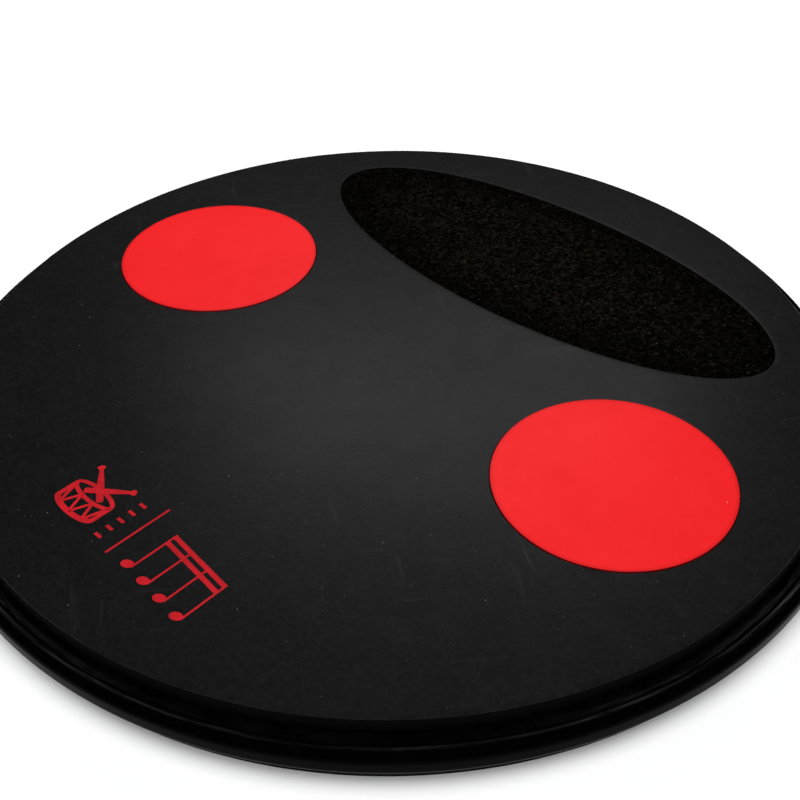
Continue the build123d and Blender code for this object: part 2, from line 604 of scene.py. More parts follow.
crumbFinish = {
    "gapShade": (0.0003, 0.0003, 0.0003, 1),
    "black": (0.0006, 0.0006, 0.0005, 1),
    "grey": (0.0150, 0.0138, 0.0105, 1),
    "specks": (
        (0.930, (0.0120, 0.0072, 0.0034, 1)),    # brown
        (0.955, (0.0190, 0.0155, 0.0045, 1)),    # dull yellow
        (0.973, (0.0200, 0.0052, 0.0050, 1)),    # dark red
        (0.980, (0.0065, 0.0150, 0.0055, 1)),    # green
        (0.993, (0.0350, 0.0330, 0.0290, 1)),    # pale grit
    ),
}


def crumbRubberMaterial(finish):
    # coarse grains come with the relief, and a fine grit of round crumbs lies between them
    material, shader, place = startMaterial("crumbRubber", 0.7, 0.0)
    grain = attribute(material, "grainTone")
    raised = attribute(material, "grainDome")
    grit = cellPattern(place, 1150.0)
    pick = addNode(treeOf(place), "ShaderNodeSeparateColor", {"Color": grit["Color"]}).outputs
    body = remap(grit["Distance"], 0.62, 0.30)
    gritTone = times(mathNode("POWER", pick["Red"], 3.0), body)
    skin = skinOn(place, 150.0, 3200.0)
    tone = times(mathNode("POWER", grain, 1.6), 0.55)
    tone = plus(tone, gritTone, clamp=True)
    inward = attribute(material, "inward")
    tone = times(tone, remap(inward, 0, 1, 0.4, 1))
    color = mixColor(tone, finish["black"], finish["grey"])
    for level, tint in finish["specks"]:
        here = mathNode("GREATER_THAN", pick["Green"], level)
        color = mixColor(times(here, body), color, tint)
    color = mixColor(times(skin["Tone"], 0.5), color, finish["black"])
    # painted shade: where the grain dome is low, between the grains, the colour goes to near black
    color = mixColor(remap(raised, 0.1, 0.6, 0.25, 1), finish["gapShade"], color)
    rough = remap(pick["Blue"], 0, 1, 0.35, 0.85)
    glint = times(mathNode("GREATER_THAN", pick["Blue"], 0.978), 0.12)
    fillSocket(shader.inputs["Coat Weight"], glint)
    shader.inputs["Coat Roughness"].default_value = 0.3
    height = plus(body, times(skin["Height"], 0.4))
    finishSurface(shader, color, rough, height, 0.8, 0.15 * mm)
    return material


trimFinish = {
    "black": (0.0004, 0.0004, 0.0005, 1),
    "worn": (0.0012, 0.0012, 0.0013, 1),
    "paintedLipHighlight": (0.060, 0.060, 0.060, 1),
    "dust": (0.06, 0.06, 0.06, 1),
}


def trimPlasticMaterial(finish):
    material, shader, place = startMaterial("glossBlackTrim", 0.12, 0.014)
    along = attribute(material, "sectionLength")
    lineAt = addNode(treeOf(along), "ShaderNodeCombineXYZ", {"X": along}).outputs[0]
    dieLines = noise(lineAt, 1900.0, 3.0, 0.6)
    skin = skinOn(place, 30.0, 1100.0)
    dust = specksOn(place, 260.0, 0.04, 0.07)
    color = mixColor(remap(skin["Tone"], 0.55, 1.0), finish["black"], finish["worn"])
    # painted highlight: a light grey line along the lip's crest, broken into hair-fine streaks
    lipHighlight = attribute(material, "paintedLipHighlight")
    around = attribute(material, "aroundRim")
    hairs = useGroup(rimStreaks, {"Around": around, "Across": along, "Scale": 2400.0})
    color = mixColor(times(lipHighlight, hairs["Mask"]), color, finish["paintedLipHighlight"])
    color = mixColor(times(dust, 0.6), color, finish["dust"])
    rough = remap(skin["Tone"], 0, 1, 0.10, 0.16)
    height = plus(times(dieLines, 0.5), times(skin["Height"], 0.25))
    finishSurface(shader, color, rough, height, 0.16, 0.03 * mm)
    return material


boardFinish = {
    "stain": (0.0002, 0.0002, 0.0002, 1),
    "rubbed": (0.0016, 0.0015, 0.0014, 1),
    "fibre": (0.0055, 0.0050, 0.0044, 1),
    "paintedRimSheen": (0.040, 0.040, 0.039, 1),
}


def stainedBoardMaterial(finish):
    material, shader, place = startMaterial("stainedBoard", 0.5, 0.05)
    skin = skinOn(place, 80.0, 1500.0)
    fibres = streaksOn(place, 0.4, 900.0, 0.6)
    dust = specksOn(place, 330.0, 0.08, 0.09)
    color = mixColor(remap(skin["Tone"], 0.35, 1.0), finish["stain"], finish["rubbed"])
    loose = larger(fibres, dust)
    color = mixColor(times(loose, 0.5), color, finish["fibre"])
    # painted sheen: a light grey in hair-fine streaks along the outer ledge, set by the stored share
    around = attribute(material, "aroundRim")
    across = attribute(material, "fromMiddle")
    rimSheen = attribute(material, "paintedRimSheen")
    hairs = useGroup(rimStreaks, {"Around": around, "Across": across, "Scale": 2900.0})
    color = mixColor(times(rimSheen, hairs["Mask"]), color, finish["paintedRimSheen"])
    rough = remap(skin["Tone"], 0, 1, 0.36, 0.6)
    height = plus(skin["Height"], times(loose, 0.8))
    finishSurface(shader, color, rough, height, 0.6, 0.08 * mm)
    return material


foamFinish = {"dark": (0.0026, 0.0026, 0.0028, 1), "light": (0.0095, 0.0095, 0.0100, 1)}


def foamRubberMaterial(finish):
    material, shader, place = startMaterial("foamRubber", 0.85, 0.06)
    skin = skinOn(place, 24.0, 900.0)
    cells = cellPattern(place, 1600.0)
    color = mixColor(skin["Tone"], finish["dark"], finish["light"])
    height = plus(skin["Height"], cells["Distance"])
    rough = remap(skin["Tone"], 0, 1, 0.9, 0.74)
    finishSurface(shader, color, rough, height, 0.55, 0.1 * mm)
    return material


inkFinish = {
    "name": "redInk", "roughness": 0.45, "specular": 0.2, "cloud": 120.0, "fine": 1700.0,
    "low": (0.30, 0.007, 0.011, 1), "high": (0.56, 0.012, 0.020, 1),
    "lowRough": 0.55, "highRough": 0.42, "bump": 0.3, "depth": 0.04 * mm,
}

filmFinish = {
    "name": "adhesiveFilm", "roughness": 0.35, "specular": 0.5, "cloud": 40.0, "fine": 700.0,
    "low": (0.66, 0.60, 0.44, 1), "high": (0.50, 0.40, 0.22, 1),
    "lowRough": 0.3, "highRough": 0.5, "bump": 0.3, "depth": 0.05 * mm,
}


def thinLayerMaterial(finish):
    material, shader, place = startMaterial(finish["name"], finish["roughness"], finish["specular"])
    skin = skinOn(place, finish["cloud"], finish["fine"])
    color = mixColor(skin["Tone"], finish["low"], finish["high"])
    rough = remap(skin["Tone"], 0, 1, finish["lowRough"], finish["highRough"])
    finishSurface(shader, color, rough, skin["Height"], finish["bump"], finish["depth"])
    return material


paperFinish = {"low": (0.86, 0.86, 0.86, 1), "high": (0.90, 0.90, 0.90, 1), "mirrored": 0.8}


def studioPaperMaterial(finish):
    # dimmer in the pad's reflections, as if the room beyond were dark, and clear from below
    material, shader, place = startMaterial("studioPaper", 0.8, 0.1)
    skin = skinOn(place, 3.0, 400.0)
    color = mixColor(skin["Tone"], finish["low"], finish["high"])
    mirrored = addNode(material.node_tree, "ShaderNodeLightPath").outputs["Is Glossy Ray"]
    share = remap(mirrored, 0, 1, 0.0, 1 - finish["mirrored"])
    color = mixColor(share, color, (0, 0, 0, 1))
    behind = addNode(material.node_tree, "ShaderNodeNewGeometry").outputs["Backfacing"]
    fillSocket(shader.inputs["Alpha"], mathNode("SUBTRACT", 1.0, behind))
    finishSurface(shader, color, None, skin["Height"], 0.05, 0.05 * mm)
    return material


playingRubber = playingRubberMaterial(rubberFinish)
redSilicone = redSiliconeMaterial(siliconeFinish)
crumbRubber = crumbRubberMaterial(crumbFinish)
glossBlackTrim = trimPlasticMaterial(trimFinish)
stainedBoard = stainedBoardMaterial(boardFinish)
foamRubber = foamRubberMaterial(foamFinish)
redInk = thinLayerMaterial(inkFinish)
adhesiveFilm = thinLayerMaterial(filmFinish)
studioPaper = studioPaperMaterial(paperFinish)
print("materials made")

# floor

floorShape = {"radius": 6.0, "hole": 0.155, "drop": 0.05 * mm, "columns": 240}


def makeFloor(shape):
    # a wide flat ring. The pad covers its hole, through which the underside can be seen
    r = np.array((shape["hole"], 0.3, 1.0, shape["radius"]))[:, None]
    points = carryRound(r, turnSteps(shape["columns"]), -shape["drop"])
    mesh = bpy.data.meshes.new("floor")
    faces = gridFaces(len(r), shape["columns"], wrapColumns=True)
    mesh.from_pydata(points.reshape(-1, 3).tolist(), [], faces.tolist())
    mesh.flip_normals()
    mesh.materials.append(studioPaper)
    floor = bpy.data.objects.new("floor", mesh)
    bpy.context.scene.collection.objects.link(floor)


makeFloor(floorShape)

# playing surface

sheetShape = {
    "outerRound": 0.45 * mm,
    "openingRound": 0.15 * mm,
    "inlayGap": 0.2 * mm,
    "spacing": 1.6 * mm,        # between points of the top face
    "bottomSpacing": 8.0 * mm,
    "roundSteps": 6,
    "wallSteps": 5,
    "outerColumns": 900,
    "openingColumns": (320, 320, 620),
    "margin": 0.8,              # clear of the outlines, in spacings
    "cutWobble": 0.025 * mm,    # unevenness of the die-cut walls
    "waves": ((46 * mm, 0.045 * mm), (13 * mm, 0.018 * mm), (4.5 * mm, 0.006 * mm)),
}


def rubberWave(x, y):
    # the sheet isn't quite flat: three sizes of smooth noise added up
    return sum(
        depth * smoothNoise(x, y, cell, seed)
        for seed, (cell, depth) in enumerate(sheetShape["waves"])
    )


def sheetWall(outline, columns, roundness, sign, shape):
    # one wall of the sheet as rows of points: a quarter round at the top and then straight
    # down. sign is 1 where the rubber lies inside the outline and -1 round an opening
    quarter = np.radians(np.linspace(0, 90, shape["roundSteps"]))
    thickness = rubber["top"] - rubber["bottom"]
    straight = np.linspace(roundness, thickness, shape["wallSteps"] + 1)[1:]
    insets = np.concatenate((roundness * (1 - np.sin(quarter)), np.zeros(shape["wallSteps"])))
    drops = np.concatenate((roundness * (1 - np.cos(quarter)), straight))
    middle = (outline["shape"]["x"], outline["shape"]["y"])
    rows = []
    for inset, drop in zip(insets, drops):
        flat = ovalLoop(outline["shape"], outline["grow"] - sign * inset, columns)
        cut = smoothNoise(turnSteps(columns) * 90, np.full(columns, drop / mm), 1.0, 5)
        wobble = easeIn(drop, roundness, 2 * roundness) * shape["cutWobble"] * cut
        away = flat - middle
        flat = flat + away / np.hypot(away[:, :1], away[:, 1:]) * wobble[:, None]
        wave = rubberWave(flat[:, 0], flat[:, 1]) * (1 - easeIn(drop, 0.3 * thickness, thickness))
        rows.append(np.column_stack((flat, rubber["top"] - drop + wave)))
    return np.array(rows)


def onRubber(x, y, outer, openings, margin):
    # true inside the outer outline and outside every opening, by at least the margin
    inside = insideOval(x, y, outer["shape"], -margin)
    for opening in openings:
        inside &= ~insideOval(x, y, opening["shape"], opening["grow"] + margin)
    return inside


def fillBetween(loops, spacing, outer, openings, heightAt):
    # the flat face between the outer loop and the loops of the openings: an even field of
    # points, joined by a triangulation that keeps to the loops
    reach = int(2 * outer["shape"]["halfX"] / spacing) + 2
    i, j = np.meshgrid(np.arange(-reach, reach), np.arange(-reach, reach))
    x = ((i + 0.5 * (j % 2)) * spacing).ravel()
    y = (j * spacing * np.sqrt(0.75)).ravel()
    keep = onRubber(x, y, outer, openings, sheetShape["margin"] * spacing)
    field = np.column_stack((x[keep], y[keep]))
    starts = np.cumsum([0] + [len(loop) for loop in loops])
    edges = np.concatenate([
        np.column_stack((np.arange(len(loop)), (np.arange(len(loop)) + 1) % len(loop))) + start
        for loop, start in zip(loops, starts)
    ])
    flat = np.concatenate([loop[:, :2] for loop in loops] + [field])
    made = delaunay_2d_cdt(flat.tolist(), edges.tolist(), [], 0, 1e-9)
    triangles = np.array(made[2])
    middle = flat[triangles].mean(1)
    keep = onRubber(middle[:, 0], middle[:, 1], outer, openings, 0)
    heights = np.concatenate([loop[:, 2] for loop in loops] + [heightAt(field[:, 0], field[:, 1])])
    return np.column_stack((flat, heights)), [triangles[keep]]


def makeRubberSheet(shape):
    outer = {"shape": rubber, "grow": 0.0}
    openings = [{"shape": inlay, "grow": shape["inlayGap"]} for inlay in (leftDisc, rightDisc, oval)]
    walls = [sheetWall(outer, shape["outerColumns"], shape["outerRound"], 1, shape)]
    for opening, columns in zip(openings, shape["openingColumns"]):
        walls.append(sheetWall(opening, columns, shape["openingRound"], -1, shape))
    blocks = [closedRows(wall, {}) for wall in walls]
    blocks.append(fillBetween(
        [wall[0] for wall in walls], shape["spacing"], outer, openings,
        lambda x, y: rubber["top"] + rubberWave(x, y),
    ))
    blocks.append(fillBetween(
        [wall[-1] for wall in walls], shape["bottomSpacing"], outer, openings,
        lambda x, y: np.full(len(x), rubber["bottom"]),
    ))
    piece = makePiece("rubber_sheet", blocks, playingRubber)
    below = rubber["top"] - pointsOf(piece)[:, 2]
    storeOnPoints(piece, "onTop", 1 - easeIn(below, 0.15 * mm, 0.45 * mm))
    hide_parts("playing_surface")


makeRubberSheet(sheetShape)
print("rubber sheet made")

# red discs

discShape = {
    "edgeRound": 0.2 * mm,
    "crown": 0.05 * mm,
    "ripple": 0.012 * mm,
    "columns": 320,
    "topRings": 30,
}


def makeRedDisc(name, place, node, shape):
    # a section from the underside's middle, up the wall and over to the top's middle,
    # carried once round. The top is crowned as a flat dome: crown x (1 - r squared)
    radius, roundness = place["halfX"], shape["edgeRound"]
    inner = radius - roundness
    low, high = place["bottom"] + roundness, place["top"] - roundness
    section = np.concatenate((
        pairs(np.linspace(0, inner, 7)[1:], place["bottom"]),
        arcPoints((inner, low), roundness, -90, 0, 5)[1:],
        pairs(radius, np.linspace(low, high, 7)[1:-1]),
        arcPoints((inner, high), roundness, 0, 90, 8),
        pairs(np.linspace(inner, 0, shape["topRings"] + 1)[1:-1], place["top"]),
    ))
    r, height = section[:, :1], section[:, 1:]
    points = carryRound(r, turnSteps(shape["columns"]), height, place["x"], place["y"])
    lifted = easeIn(height, place["top"] - 2 * roundness, high)
    dome = shape["crown"] * (1 - (r / radius) ** 2) - shape["crown"]
    ripple = shape["ripple"] * smoothNoise(points[..., 0], points[..., 1], 11 * mm, 8)
    points[..., 2] = height + lifted * (dome + ripple)
    hubs = {
        0: (place["x"], place["y"], place["bottom"]),
        -1: (place["x"], place["y"], points[-1, :, 2].mean()),
    }
    piece = makePiece(name, [closedRows(points, hubs)], redSilicone)
    fromMiddle = polarOf(piece, place["x"], place["y"])[0]
    storeOnPoints(piece, "onTop", 1 - easeIn(fromMiddle, radius - 1.5 * roundness, radius - 0.2 * roundness))
    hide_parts(node)


makeRedDisc("silicone_disc_left", leftDisc, "red_disc_left", discShape)
makeRedDisc("silicone_disc_right", rightDisc, "red_disc_right", discShape)
print("red discs made")

# crumb-rubber oval

crumbShape = {
    "rows": 176,
    "columns": 456,
    "grainPitch": 1.2 * mm,
    "grainDepth": 0.45 * mm,
    "finePitch": 0.75 * mm,
    "fineDepth": 0.10 * mm,
    "edgeDrop": 0.25 * mm,
    "wornPart": 0.55,
    "lowest": 0.45,             # the flattest grain's share of the full depth
    "domeReach": 0.85,          # in pitches
    "gapWidth": 0.22,
    "wallSteps": 6,
    "underRings": (1.0, 0.93, 0.8, 0.6, 0.35, 0.12),
}


def crumbHeight(x, y, shape):
    # every grain is a low dome with a height of its own, and smaller grains fill the gaps
    away, gap, own = grainField(x, y, shape["grainPitch"], 11)
    dome = np.sqrt(np.clip(1 - (away / shape["domeReach"]) ** 2, 0, 1)) * easeIn(gap, 0.0, shape["gapWidth"])
    fineAway, _, fineOwn = grainField(x, y, shape["finePitch"], 23)
    fine = np.clip(1 - fineAway, 0, 1) * fineOwn
    size = shape["lowest"] + (1 - shape["lowest"]) * own
    return shape["grainDepth"] * (dome * size - 1) + shape["fineDepth"] * fine


def makeCrumbOval(shape):
    # a square grid pressed into the ellipse carries the grains, and its border is let down
    # to the underside as the wall
    px, py = discGrid(shape["rows"], shape["columns"])
    x, y = oval["x"] + oval["halfX"] * px, oval["y"] + oval["halfY"] * py
    fromEdge = (1 - np.hypot(px, py)) * oval["halfY"]
    inward = easeIn(fromEdge, 0, 1.2 * mm)
    z = oval["top"] + 0.1 * mm + crumbHeight(x, y, shape) * (0.35 + 0.65 * inward)
    z = z - shape["edgeDrop"] * (1 - easeIn(fromEdge, 0, 0.5 * mm))
    top = np.stack((x, y, z), -1).reshape(-1, 3)
    rim = top[borderOf(shape["rows"], shape["columns"])]
    share = np.linspace(0, 1, shape["wallSteps"])[:, None]
    wallHeights = rim[:, 2] * (1 - share) + oval["bottom"] * share
    wall = np.stack(np.broadcast_arrays(rim[:, 0], rim[:, 1], wallHeights), -1)
    middle = np.array((oval["x"], oval["y"]))
    under = np.array([
        np.column_stack((middle + (rim[:, :2] - middle) * scale, np.full(len(rim), oval["bottom"])))
        for scale in shape["underRings"]
    ])
    blocks = [
        (top, [gridFaces(shape["rows"], shape["columns"])]),
        closedRows(wall, {}),
        closedRows(under, {-1: (*middle, oval["bottom"])}),
    ]
    piece = makePiece("crumb_oval", blocks, crumbRubber, 180)
    x, y = pointsOf(piece)[:, :2].T
    gap, own = grainField(x, y, shape["grainPitch"], 11)[1:]
    # the middle is worn lighter than the border
    reach = np.hypot((x - oval["x"]) / oval["halfX"], (y - oval["y"]) / oval["halfY"])
    storeOnPoints(piece, "inward", 1 - easeIn(reach, shape["wornPart"], 1))
    storeOnPoints(piece, "grainTone", own)
    storeOnPoints(piece, "grainDome", easeIn(gap, 0.0, 0.4) * (0.35 + 0.65 * own))
    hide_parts("oval_inlay")


makeCrumbOval(crumbShape)
print("crumb oval made")

# core board

boardShape = {
    "edgeBreak": 0.3 * mm,
    "grooveDepth": 7.3 * mm,
    "grooveHeight": 2.5 * mm,
    "ledgeRows": 9,
    "innerRings": (0.02, 0.08, 0.13),
    "columns": 1180,
    "fibre": 0.035 * mm,
    "chips": 0.07 * mm,
    "sheenHeading": 40.0,        # degrees from the right towards the back
    "sheenReach": 2.6 * mm,
}


def makeBoard(shape):
    # the section starts and ends on the axis: underside, broken edge, groove, broken edge,
    # ledge and top. Round the ledge the surface is raised and pitted by fibre-sized noise
    radius, edge, rings = board["halfX"], shape["edgeBreak"], shape["innerRings"]
    middle, half = (board["bottom"] + board["top"]) / 2, shape["grooveHeight"] / 2
    grooveInner = radius - shape["grooveDepth"]
    ledgeInner = rubber["halfX"] - 1 * mm
    section = np.concatenate((
        pairs((*rings, radius - edge), board["bottom"]),
        [(radius, board["bottom"] + edge), (radius, middle - half)],
        [(grooveInner, middle - half), (grooveInner, middle + half)],
        [(radius, middle + half), (radius, board["top"] - edge)],
        pairs(np.linspace(radius - edge, ledgeInner, shape["ledgeRows"]), board["top"]),
        pairs(rings[::-1], board["top"]),
    ))
    t = turnSteps(shape["columns"])
    r, height = section[:, :1], section[:, 1:]
    onLedge = easeIn(r, ledgeInner, ledgeInner + 0.6 * mm) * (height >= board["top"] - 1.1 * edge)
    along, across = t * radius + 0 * r, r + 0 * t
    fibres = smoothNoise(along, across, 0.9 * mm, 31) * 0.6 + smoothNoise(along, across, 3.5 * mm, 32) * 0.4
    chips = easeIn(smoothNoise(along, across, 1.7 * mm, 33), 0.35, 0.9)
    nearEdge = easeIn(r, radius - 1.2 * mm, radius - edge)
    z = height + onLedge * (shape["fibre"] * (fibres - 1) - shape["chips"] * chips * nearEdge)
    block = closedRows(carryRound(r, t, z), {0: (0, 0, board["bottom"]), -1: (0, 0, board["top"])})
    piece = makePiece("stained_board", [block], stainedBoard)
    # a painted sheen lies along the outer half of the ledge in fine streaks, brightest on two sides
    away, angle = polarOf(piece)
    rimSheen = easeIn(away, radius - shape["sheenReach"], radius) * sideShare(angle, shape["sheenHeading"])
    storeOnPoints(piece, "fromMiddle", away)
    storeOnPoints(piece, "aroundRim", np.mod(angle - np.pi / 2, fullTurn) * radius)
    storeOnPoints(piece, "paintedRimSheen", rimSheen)
    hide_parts("core_board")


makeBoard(boardShape)
print("board made")

# edge trim

trimShape = {
    "fit": 0.1 * mm,
    "lipInnerRound": 1.0 * mm,
    "lipOuterRound": 2.6 * mm,
    "lipCrown": 0.06 * mm,
    "heelHeight": 0.75 * mm,
    "heelTuck": 1.1 * mm,
    "heelCurve": 2.1 * mm,
    "heelSoft": 0.12 * mm,
    "bottomGap": 0.2 * mm,
    "tongueLength": 6.5 * mm,
    "tongueThickness": 1.6 * mm,
    "barbs": 3,
    "barbHeight": 0.4 * mm,
    "barbLength": 1.3 * mm,
    "barbPitch": 1.8 * mm,
    "barbTipGap": 0.5 * mm,
    "seamGap": 0.4 * mm,
    "columns": 760,
    "radialWave": 0.05 * mm,
    "upWave": 0.035 * mm,
    "highlightInset": 1.5 * mm,      # from the board's edge out to the painted highlight line
    "highlightWidth": 0.75 * mm,
    "highlightHeading": 40.0,        # degrees from the right towards the back
    "highlightLeast": 0.25,
}


def trimSection(shape):
    # the closed outline of the moulding as (radius, height) pairs: up the inner face, over
    # the lip, down the band, round the heel, and back along the tongue with its barbs
    inner = board["halfX"] + shape["fit"]
    outer = max(trim["halfX"], trim["halfY"])
    top = trim["top"]
    low = board["bottom"]
    middle = (board["bottom"] + board["top"]) / 2
    halfTongue = shape["tongueThickness"] / 2
    tip = inner - shape["tongueLength"]
    innerRound, outerRound = shape["lipInnerRound"], shape["lipOuterRound"]
    heelTop = low + shape["heelHeight"] + shape["heelCurve"]
    heelSpan, heelDrop = shape["heelTuck"], shape["heelCurve"]
    heelRadius = (heelSpan ** 2 + heelDrop ** 2) / (2 * heelSpan)
    heelSweep = np.degrees(np.arcsin(heelDrop / heelRadius))
    crestX = np.linspace(inner + innerRound, outer - outerRound, 5)[1:-1]
    crestShare = (crestX - inner - innerRound) / (outer - outerRound - inner - innerRound)
    crest = pairs(crestX, top + 4 * shape["lipCrown"] * crestShare * (1 - crestShare))
    bandTop = top - outerRound
    band = pairs(outer, np.linspace(bandTop, heelTop, 5)[1:-1])
    heel = arcPoints((outer - heelRadius, heelTop), heelRadius, 0, -heelSweep, 8)
    heelPoint = heel[-1] - (shape["heelSoft"], shape["heelSoft"] * 0.4)
    barbs = []
    for barb in range(shape["barbs"]):
        start = tip + shape["barbTipGap"] + barb * shape["barbPitch"]
        back = start + shape["barbLength"]
        barbs += [(start, halfTongue), (back, halfTongue + shape["barbHeight"]), (back, halfTongue)]
    lower = [(r, middle - z) for r, z in reversed(barbs)]
    upper = [(r, middle + z) for r, z in barbs]
    return np.concatenate((
        [(inner, middle + halfTongue + 0.3 * mm)],
        arcPoints((inner + innerRound, top - innerRound), innerRound, 180, 90, 9),
        crest,
        arcPoints((outer - outerRound, bandTop), outerRound, 90, 0, 15),
        band,
        heel,
        [heelPoint],
        [(inner + 1.2 * mm, low + shape["bottomGap"] + 0.1 * mm)],
        [(inner, low + shape["bottomGap"])],
        [(inner, middle - halfTongue)],
        lower,
        [(tip, middle - halfTongue), (tip, middle + halfTongue)],
        upper,
        [(inner, middle + halfTongue)],
    ))


def makeTrim(shape):
    # the section carried round the board from one side of the seam to the other. The part
    # outside the board wanders a few hundredths of a millimetre, as a wrapped strip does
    section = trimSection(shape)
    outer = section[:, 0].max()
    seamHalf = shape["seamGap"] / outer / 2
    t = np.linspace(np.pi / 2 + seamHalf, np.pi / 2 + fullTurn - seamHalf, shape["columns"])
    r, height = section[:, :1], section[:, 1:]
    turn = np.cos(t) * 4.1 + 9, np.sin(t) * 4.1 + 9
    sway = smoothNoise(*turn, 1.0, 41) * 0.7 + smoothNoise(*turn, 0.31, 42) * 0.3
    rise = smoothNoise(*turn, 0.8, 43)
    outside = easeIn(r, board["halfX"] + 0.5 * mm, outer - 1.5 * mm)
    radius = r + outside * shape["radialWave"] * (sway - 1)
    z = height + outside * shape["upWave"] * rise * easeIn(height, board["bottom"] + 4 * mm, trim["top"])
    points = carryRound(radius, t, z)
    rows, columns = z.shape
    ends = np.arange(rows) * columns
    faces = [gridFaces(rows, columns, wrapRows=True), [ends.tolist()], [(ends + columns - 1).tolist()]]
    piece = makePiece("gloss_trim", [(points.reshape(-1, 3), faces)], glossBlackTrim)
    steps = np.hypot(*np.diff(section, axis=0, append=section[:1]).T)
    length = np.concatenate(([0], np.cumsum(steps)[:-1]))
    storeOnPoints(piece, "sectionLength", np.repeat(length, columns))
    storeOnPoints(piece, "aroundRim", np.tile(t * outer, rows))
    # a painted highlight along the lip's crest: one narrow light line, brightest on two sides of the pad
    away, angle = polarOf(piece)
    fromLine = np.abs(away - board["halfX"] - shape["highlightInset"])
    line = 1 - easeIn(fromLine, 0.15 * shape["highlightWidth"], shape["highlightWidth"])
    crest = easeIn(pointsOf(piece)[:, 2], trim["top"] - 0.9 * mm, trim["top"] - 0.3 * mm)
    rubbed = shape["highlightLeast"] + (1 - shape["highlightLeast"]) * sideShare(angle, shape["highlightHeading"])
    storeOnPoints(piece, "paintedLipHighlight", line * crest * rubbed)
    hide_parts("edge_trim")


makeTrim(trimShape)
print("trim made")

# non-slip base

baseShape = {
    "edgeRound": 0.8 * mm,
    "gridSteps": 250,
    "dimplePitch": 7.4 * mm,
    "rowStep": 0.866,           # between rows of dimples, in pitches
    "dimpleFlat": 0.08,
    "dimpleReach": 0.42,
    "dimpleDepth": 0.35 * mm,
    "wallSteps": 5,
    "topRings": (0.97, 0.8, 0.5, 0.2),
}


def makeBase(shape):
    # the underside is a square grid pressed into a disc, with rows of shallow round dimples.
    # Its border turns up into the rounded wall and over to the top face
    radius, roundness = base["halfX"], shape["edgeRound"]
    inner = radius - roundness
    low, high = base["bottom"] + roundness, base["top"] - roundness
    steps, pitch, rowStep = shape["gridSteps"], shape["dimplePitch"], shape["rowStep"]
    px, py = discGrid(steps, steps)
    x, y = inner * px, inner * py
    row = np.round(y / (pitch * rowStep))
    shift = 0.5 * (row % 2)
    column = np.round(x / pitch - shift)
    away = np.hypot(x - (column + shift) * pitch, y - row * pitch * rowStep) / pitch
    atRim = easeIn(inner - np.hypot(x, y), 1.0 * mm, 4.0 * mm)
    dimple = 1 - easeIn(away, shape["dimpleFlat"], shape["dimpleReach"])
    z = base["bottom"] + shape["dimpleDepth"] * dimple * atRim
    under = np.stack((x, y, z), -1).reshape(-1, 3)
    rim = under[borderOf(steps, steps)][:, :2] / inner
    section = np.concatenate((
        arcPoints((inner, low), roundness, -90, 0, 7),
        pairs(radius, np.linspace(low, high, shape["wallSteps"] + 2)[1:-1]),
        arcPoints((inner, high), roundness, 0, 90, 7),
        pairs([share * inner for share in shape["topRings"]], base["top"]),
    ))
    r, height = section[:, :1], section[:, 1:]
    side = np.stack(np.broadcast_arrays(r * rim[:, 0], r * rim[:, 1], height), -1)
    blocks = [
        (under, [gridFaces(steps, steps)]),
        closedRows(side, {-1: (0, 0, base["top"])}),
    ]
    piece = makePiece("foam_base", blocks, foamRubber, 60)
    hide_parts("non_slip_base")


makeBase(baseShape)
for filmNode in ("surface_film", "disc_film_left", "disc_film_right", "oval_film", "base_film"):
    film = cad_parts[filmNode]
    film.data.materials.clear()
    film.data.materials.append(adhesiveFilm)
print("base and films made")

# printed mark: a small drum with two sticks,
# five ticks, a line and four notes under two beams

markShape = {
    "thickness": 0.035 * mm,
    "drum": {"x": -18.8 * mm, "top": -114.2 * mm, "bottom": -121.2 * mm, "halfWidth": 8.6 * mm,
             "halfDepth": 2.7 * mm, "stroke": 1.9 * mm, "cord": 1.0 * mm, "cords": 3},
    "stick": {"length": 17 * mm, "butt": 2.3 * mm, "neck": 1.4 * mm, "bead": 2.5 * mm,
              "lean": 52.0, "rise": 4.2 * mm},
    "ticks": {"x": -3.7 * mm, "low": -123.6 * mm, "high": -107.0 * mm, "count": 5, "width": 2.9 * mm,
              "stroke": 1.1 * mm},
    "line": {"x": 3.6 * mm, "low": -126.2 * mm, "high": -102.4 * mm, "width": 0.75 * mm},
    "notes": {"x": 12.0 * mm, "y": -124.5 * mm, "count": 4, "step": 8.6 * mm, "head": 2.1 * mm,
              "stem": 17 * mm, "width": 0.7 * mm, "beam": 1.6 * mm, "beamGap": 3.0 * mm, "slope": -0.10,
              "headLean": 22.0, "headFlat": 0.72},
}


def inkPatch(x, y, layer):
    # a thin closed slab of ink over a grid of places: its top follows the rubber's waves,
    # its underside lies just inside the rubber, and the border joins the two
    rows, columns = x.shape
    skin = rubber["top"] + rubberWave(x, y)
    lift = markShape["thickness"] * (1 + 0.35 * layer)
    top = np.stack((x, y, skin + lift), -1).reshape(-1, 3)
    under = np.stack((x, y, skin - 0.02 * mm), -1).reshape(-1, 3)
    faces, border = gridFaces(rows, columns), borderOf(rows, columns)
    nextOne = np.roll(border, -1)
    side = np.stack((border, nextOne, nextOne + rows * columns, border + rows * columns), -1)
    return np.concatenate((top, under)), [faces, faces[:, ::-1] + rows * columns, side]


def inkCurve(x, y, width):
    # a band of one width along a curve: every point is moved to both sides, square to the curve
    forwardX, forwardY = np.gradient(x), np.gradient(y)
    length = np.hypot(forwardX, forwardY)
    w = np.linspace(-0.5, 0.5, 5)[:, None] * width
    return x - w * forwardY / length, y + w * forwardX / length


def inkBar(start, end, width, steps=16):
    # a straight bar between two places
    start, end = np.array(start), np.array(end)
    length = np.hypot(*(end - start))
    forward = (end - start) / length
    side = np.array((-forward[1], forward[0]))
    s = np.linspace(0, 1, steps)
    w = np.linspace(-1, 1, 4)[:, None]
    half = np.full(steps, width / 2)
    x = start[0] + forward[0] * s * length + side[0] * w * half
    y = start[1] + forward[1] * s * length + side[1] * w * half
    return x, y


